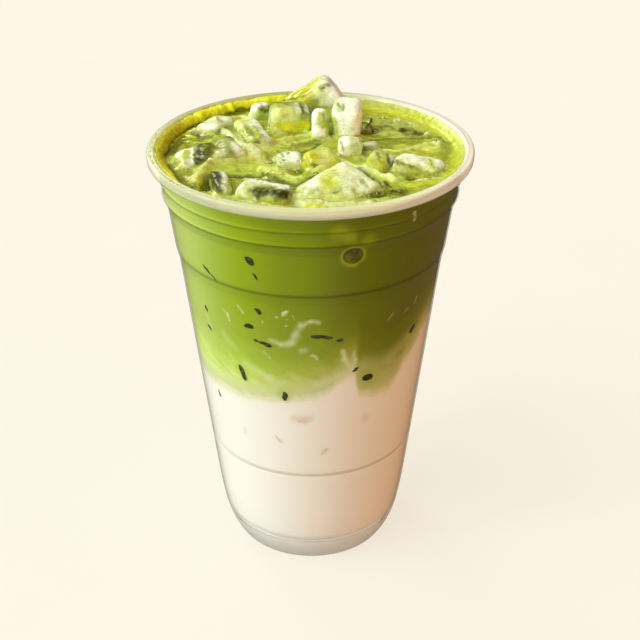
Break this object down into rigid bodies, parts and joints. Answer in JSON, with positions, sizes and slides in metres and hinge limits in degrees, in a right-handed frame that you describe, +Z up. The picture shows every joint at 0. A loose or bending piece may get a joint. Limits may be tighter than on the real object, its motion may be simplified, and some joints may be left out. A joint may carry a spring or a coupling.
{
  "type": "iced matcha latte",
  "caption": "Iced matcha latte in a clear plastic cup: a milk layer below, a green matcha layer above, with ice pieces standing out of the top.",
  "frame": {"origin": "centre of the cup's foot, on the surface it stands on", "axes": "+Z up along the cup's axis, -Y towards the front of the drink, +X to the right"},
  "size_m": [0.098, 0.098, 0.1457],
  "materials": {
    "clear_plastic": "thin clear plastic",
    "milk": "opaque milk",
    "matcha": "cloudy green matcha milk",
    "ice": "wet ice with a green film"
  },
  "bodies": {
    "root": {"cup": "clear_plastic", "milk": "milk", "matcha": "matcha", "ice_peak": "ice", "ice_back": "ice", "ice_tooth": "ice", "ice_lobe": "ice", "ice_chip_back": "ice", "ice_mid_left": "ice", "ice_far_left": "ice", "ice_left": "ice", "ice_front_left": "ice", "ice_sliver": "ice", "ice_front": "ice", "ice_amber": "ice", "ice_frosted": "ice", "ice_green_right": "ice", "ice_right": "ice", "ice_small": "ice", "ice_chip": "ice", "ice_flush": "ice"}
  },
  "joints": []
}
